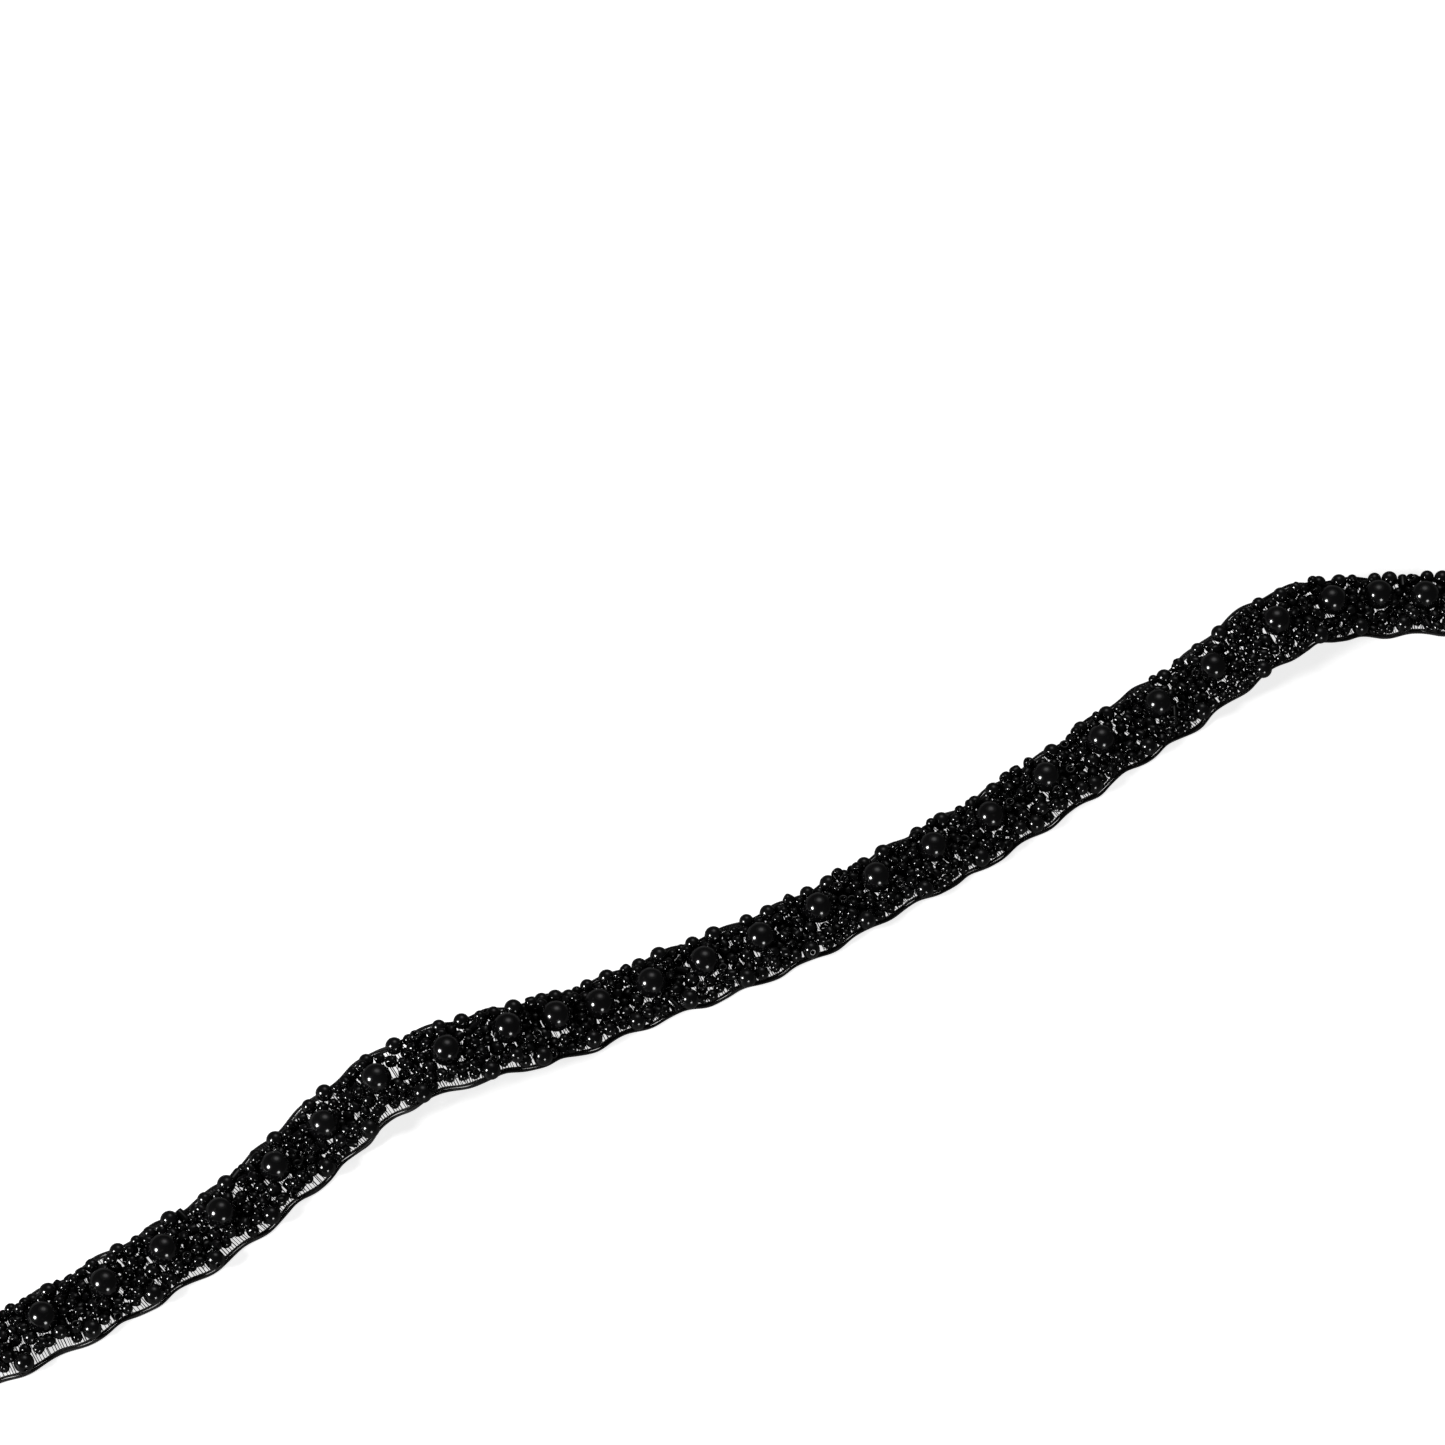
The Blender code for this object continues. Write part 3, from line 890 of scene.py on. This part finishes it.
# %% Finish of a bead
bead_finish, start, end = new_group(
    "bead_finish",
    [
        ("Dark", COLOUR, (0.004, 0.004, 0.0045, 1)),
        ("Light", COLOUR, (0.012, 0.012, 0.013, 1)),
        ("Gloss", NUMBER, 0.1),
        ("Haze", NUMBER, 0.1),
        ("Spots per Metre", NUMBER, 900.0),
    ],
    [("Color", COLOUR), ("Roughness", NUMBER), ("Height", NUMBER)],
)
tone = add_node(bead_finish, "ShaderNodeAttribute", {"attribute_name": "tone"})
spot = add_node(bead_finish, "ShaderNodeTexCoord")
haze = add_node(bead_finish, "ShaderNodeTexNoise", None, {"Detail": 4.0, "Roughness": 0.6})
bead_finish.links.new(spot.outputs["Object"], haze.inputs["Vector"])
bead_finish.links.new(start.outputs["Spots per Metre"], haze.inputs["Scale"])
cloud = maths(bead_finish, "MULTIPLY", haze.outputs["Fac"], 0.6)
blend = maths(bead_finish, "ADD", cloud, maths(bead_finish, "MULTIPLY", tone.outputs["Fac"], 0.4))
colour = mix_colour(bead_finish, blend, start.outputs["Dark"], start.outputs["Light"])
dull = maths(bead_finish, "MULTIPLY", blend, start.outputs["Haze"])
bead_finish.links.new(colour, end.inputs["Color"])
bead_finish.links.new(maths(bead_finish, "ADD", start.outputs["Gloss"], dull), end.inputs["Roughness"])
bead_finish.links.new(haze.outputs["Fac"], end.inputs["Height"])

# %% Twist of a thread, and its painted ply shade
twist, start, end = new_group(
    "thread_twist",
    [("Turns per Metre", NUMBER, 1500.0), ("Plies", NUMBER, 2.0), ("Fuzz", NUMBER, 0.3)],
    [("Painted Ply Shade", NUMBER), ("Height", NUMBER)],
)
strand = add_node(twist, "ShaderNodeUVMap", {"uv_map": "strand"})
parts = add_node(twist, "ShaderNodeSeparateXYZ")
twist.links.new(strand.outputs["UV"], parts.inputs[0])
lengthwise = maths(twist, "MULTIPLY", parts.outputs[0], start.outputs["Turns per Metre"])
around = maths(twist, "MULTIPLY", parts.outputs[1], start.outputs["Plies"])
phase = maths(twist, "MULTIPLY", maths(twist, "ADD", lengthwise, around), 2 * math.pi)
wave = maths(twist, "MULTIPLY", maths(twist, "ADD", maths(twist, "SINE", phase, 0.0), 1.0), 0.5)
fibre_spot = add_node(twist, "ShaderNodeTexCoord")
fibre = add_node(twist, "ShaderNodeTexNoise", None, {"Scale": 9000.0, "Detail": 2.0})
twist.links.new(fibre_spot.outputs["Object"], fibre.inputs["Vector"])
fuzz = maths(twist, "MULTIPLY", fibre.outputs["Fac"], start.outputs["Fuzz"])
relief = maths(twist, "ADD", wave, fuzz)
twist.links.new(relief, end.inputs["Height"])
# Painted shade: the ply relief also goes out as a share for colour, dark in the grooves between the plies
# and light on their crests.
twist.links.new(maths(twist, "MULTIPLY", relief, 0.7), end.inputs["Painted Ply Shade"])

# %% Lint and dust
LINT_COLOUR = (0.30, 0.29, 0.28, 1)

lint, start, end = new_group(
    "lint",
    [("Amount", NUMBER, 0.05), ("Specks per Metre", NUMBER, 1400.0), ("Surface", COLOUR, (0, 0, 0, 1))],
    [("Color", COLOUR), ("Mask", NUMBER)],
)
speck_spot = add_node(lint, "ShaderNodeTexCoord")
specks = add_node(lint, "ShaderNodeTexNoise", None, {"Detail": 3.0, "Roughness": 0.7})
lint.links.new(speck_spot.outputs["Object"], specks.inputs["Vector"])
lint.links.new(start.outputs["Specks per Metre"], specks.inputs["Scale"])
surface = add_node(lint, "ShaderNodeNewGeometry")
facing = add_node(lint, "ShaderNodeSeparateXYZ")
lint.links.new(surface.outputs["Normal"], facing.inputs[0])
upward = maths(lint, "MAXIMUM", facing.outputs[2], 0.0)
peaks = add_node(lint, "ShaderNodeMapRange", None, {"From Min": 0.62, "From Max": 0.74})
lint.links.new(specks.outputs["Fac"], peaks.inputs["Value"])
mask = maths(lint, "MULTIPLY", peaks.outputs[0], maths(lint, "MULTIPLY", upward, start.outputs["Amount"]))
lint.links.new(mask, end.inputs["Mask"])
dusted = mix_colour(lint, mask, start.outputs["Surface"], LINT_COLOUR)
lint.links.new(dusted, end.inputs["Color"])

# %% [markdown]
# ## Materials
#
# Everything is black, so the materials differ mostly in their gloss. The pearls carry a thick
# clear lacquer over a slightly satin body: a sharp small highlight over a wide soft one. The glass
# seeds are simply shiny. Cord and tulle are nylon, with a dull sheen in the threads.

# %% Helper for materials


def new_material(name, settings):
    """A material whose shader has these constant settings, and its node tree."""
    material = bpy.data.materials.new(name)
    material.use_nodes = True
    shader = material.node_tree.nodes["Principled BSDF"]
    for label, value in settings.items():
        shader.inputs[label].default_value = value
    return material, material.node_tree, shader


def use_group(tree, group, values):
    node = tree.nodes.new("ShaderNodeGroup")
    node.node_tree = group
    for label, value in values.items():
        node.inputs[label].default_value = value
    return node


def raise_surface(tree, shader, height, distance, strength):
    """Bump from a height, in metres, into the shader's normal."""
    bump = add_node(tree, "ShaderNodeBump", None, {"Strength": strength, "Distance": distance})
    tree.links.new(height, bump.inputs["Height"])
    tree.links.new(bump.outputs["Normal"], shader.inputs["Normal"])


# %% Beads


def bead_material(name, finish, settings, dust):
    """A glossy bead: its tone and haze, and a little lint on top."""
    material, tree, shader = new_material(name, settings)
    body = use_group(tree, bead_finish, finish)
    fluff = use_group(tree, lint, dust)
    tree.links.new(body.outputs["Color"], fluff.inputs["Surface"])
    tree.links.new(fluff.outputs["Color"], shader.inputs["Base Color"])
    rough = maths(tree, "ADD", body.outputs["Roughness"], fluff.outputs["Mask"])
    tree.links.new(rough, shader.inputs["Roughness"])
    raise_surface(tree, shader, body.outputs["Height"], 0.02 * MM, 0.15)
    return material


pearl_lacquer = bead_material(
    "pearl_lacquer",
    {
        "Dark": (0.0008, 0.0008, 0.0009, 1),
        "Light": (0.0035, 0.0035, 0.0038, 1),
        "Gloss": 0.13,
        "Haze": 0.06,
        "Spots per Metre": 350.0,
    },
    {"IOR": 1.45, "Coat Weight": 0.5, "Coat Roughness": 0.06, "Coat IOR": 1.5},
    {"Amount": 0.05, "Specks per Metre": 1500.0},
)
black_glass = bead_material(
    "black_glass",
    {
        "Dark": (0.0006, 0.0006, 0.0007, 1),
        "Light": (0.0030, 0.0030, 0.0033, 1),
        "Gloss": 0.06,
        "Haze": 0.08,
        "Spots per Metre": 800.0,
    },
    {"IOR": 1.52},
    {"Amount": 0.04, "Specks per Metre": 2200.0},
)

# %% Threads and cords


def thread_material(name, dark, light, roughness, turns, depth, settings):
    """Twisted nylon: painted shade makes it darker between the plies, and a painted highlight makes it
    lighter on them.
    """
    material, tree, shader = new_material(name, {"Roughness": roughness, **settings})
    ply = use_group(tree, twist, {"Turns per Metre": turns, "Plies": 2.0, "Fuzz": 0.5})
    # Painted shade and highlight: the dark colour fills the grooves between the plies, and the light
    # colour the crests.
    painted_ply_shade = mix_colour(tree, ply.outputs["Painted Ply Shade"], dark, light)
    fluff = use_group(tree, lint, {"Amount": 0.2, "Specks per Metre": 2500.0})
    tree.links.new(painted_ply_shade, fluff.inputs["Surface"])
    tree.links.new(fluff.outputs["Color"], shader.inputs["Base Color"])
    raise_surface(tree, shader, ply.outputs["Height"], depth, 0.6)
    return material


# Each thread's two colours are its painted groove shade and its painted crest highlight.
cord_thread = thread_material(
    "cord_thread",
    (0.002, 0.002, 0.002, 1),
    (0.009, 0.0085, 0.0085, 1),
    0.55,
    2900.0,
    0.05 * MM,
    {"Sheen Weight": 0.04, "Sheen Roughness": 0.4, "IOR": 1.4},
)
rib_thread = thread_material(
    "rib_thread",
    (0.006, 0.006, 0.006, 1),
    (0.030, 0.029, 0.029, 1),
    0.5,
    3500.0,
    0.02 * MM,
    {"Sheen Weight": 0.1, "Sheen Roughness": 0.4},
)
nylon_thread = thread_material(
    "nylon_thread",
    (0.004, 0.004, 0.004, 1),
    (0.018, 0.018, 0.018, 1),
    0.28,
    4000.0,
    0.015 * MM,
    {"IOR": 1.53},
)

# %% Sheer tulle
FINE_THREADS_PER_METRE = 7000.0
FILM_COLOUR = (0.012, 0.012, 0.012, 1)

sheer_tulle, tree, shader = new_material("sheer_tulle", {"Roughness": 0.6, "Sheen Weight": 0.1})
strip = add_node(tree, "ShaderNodeUVMap", {"uv_map": "strand"})
parts = add_node(tree, "ShaderNodeSeparateXYZ")
tree.links.new(strip.outputs["UV"], parts.inputs[0])
openings = []
for direction in (0, 1):
    phase = maths(tree, "MULTIPLY", parts.outputs[direction], 2 * math.pi * FINE_THREADS_PER_METRE)
    wave = maths(tree, "MULTIPLY", maths(tree, "SINE", phase, 0.0), 0.5)
    openings.append(maths(tree, "ADD", wave, 0.5))
weave = maths(tree, "MAXIMUM", openings[0], openings[1])
cover = add_node(tree, "ShaderNodeMapRange", None, {"From Min": 0.8, "From Max": 1.0, "To Max": 0.2})
tree.links.new(weave, cover.inputs["Value"])
tree.links.new(cover.outputs[0], shader.inputs["Alpha"])
fluff = use_group(tree, lint, {"Amount": 0.25, "Specks per Metre": 2500.0, "Surface": FILM_COLOUR})
tree.links.new(fluff.outputs["Color"], shader.inputs["Base Color"])
raise_surface(tree, shader, weave, 0.02 * MM, 0.5)

# %% [markdown]
# ## Dress the pieces
#
# Each piece gets its material and moves with the one body there is. The plain solids that it
# stands for are hidden.

# %% Materials and what each piece stands for


def dress(piece, material, slot, *nodes):
    piece.data.materials.append(material)
    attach(piece, "root")
    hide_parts(*nodes)


dress(large_pearls, pearl_lacquer, "black_pearl", *PEARL_NODES)
dress(edge_pearls, pearl_lacquer, "black_pearl", "bead_bed")
for piece in seed_pieces + [tube_beads]:
    dress(piece, black_glass, "seed_beads", "bead_bed")
dress(tulle_sheet, sheer_tulle, "sheer_tulle", "tulle_ground")
dress(tulle_ribs, rib_thread, "sheer_tulle", "tulle_ground")
dress(cord_near, cord_thread, "edge_thread", "edge_cord_near")
dress(cord_far, cord_thread, "edge_thread", "edge_cord_far")
dress(sewing_thread, nylon_thread, "edge_thread", "bead_bed")

# %% [markdown]
# ## Floor and light
#
# The floor is a plain white table. Black beads show only what they mirror, so the lights matter
# more than the colours: a wide soft box overhead draws the dim glow on top of each pearl, a
# smaller lamp on the left draws the bright dot, and a weak one low in front draws a second dot.
# In a studio such a table is lit apart from the beads, so that it is white but hardly shows in
# them. Here the floor is white and glows by itself where it is looked at, and where it is mirrored
# it is nearly black.

# %% Floor
FLOOR_HALF = 1.6
FLOOR_DROP = 0.05 * MM
SEEN_GLOW = (0.80, 0.80, 0.80, 1)
MIRRORED_GLOW = (0.02, 0.02, 0.02, 1)
MIRRORED_WHITE = (0.08, 0.08, 0.08, 1)

corners = np.array([(-1, -1, 0), (1, -1, 0), (1, 1, 0), (-1, 1, 0)]) * FLOOR_HALF
floor = add_mesh("floor", corners - [0, 0, FLOOR_DROP], [np.array([[0, 1, 2, 3]])])
table_white, tree, shader = new_material("table_white", {"Roughness": 0.6, "Emission Strength": 1.0})
grain = add_node(tree, "ShaderNodeTexNoise", None, {"Scale": 6.0, "Detail": 3.0})
white = mix_colour(tree, grain.outputs["Fac"], (0.60, 0.60, 0.60, 1), (0.62, 0.62, 0.62, 1))
ray = add_node(tree, "ShaderNodeLightPath")
top = mix_colour(tree, ray.outputs["Is Camera Ray"], MIRRORED_WHITE, white)
tree.links.new(top, shader.inputs["Base Color"])
glow = mix_colour(tree, ray.outputs["Is Camera Ray"], MIRRORED_GLOW, SEEN_GLOW)
tree.links.new(glow, shader.inputs["Emission Color"])
floor.data.materials.append(table_white)

# %% Lights


def lamp(name, direction, distance, width, radiance):
    """A round area lamp that faces the trim, as bright as its radiance says, seen from anywhere."""
    light = bpy.data.lights.new(name, "AREA")
    light.shape = "DISK"
    light.size = width
    light.energy = radiance * math.pi * math.pi * (width / 2) ** 2
    thing = bpy.data.objects.new(name, light)
    scene.collection.objects.link(thing)
    towards = unit(np.array(direction, float))
    thing.location = towards * distance
    polar = math.acos(towards[2])
    thing.rotation_euler = (0, polar, math.atan2(towards[1], towards[0]))


OVERHEAD = (0.30, 0.385, 0.873)
lamp("overhead_wide", OVERHEAD, 1.0, 1.3, 0.07)
lamp("overhead_middle", OVERHEAD, 0.99, 0.7, 0.35)
lamp("overhead_core", OVERHEAD, 0.98, 0.4, 0.7)
lamp("left_lamp", (-0.860, 0.060, 0.500), 1.1, 0.32, 46.0)
lamp("front_lamp", (-0.20, -0.95, 0.19), 1.1, 0.32, 11.0)

world = bpy.data.worlds.new("studio")
world.use_nodes = True
world.node_tree.nodes["Background"].inputs["Color"].default_value = (1, 1, 1, 1)
world.node_tree.nodes["Background"].inputs["Strength"].default_value = 0.04
scene.world = world
scene.view_settings.view_transform = "Standard"
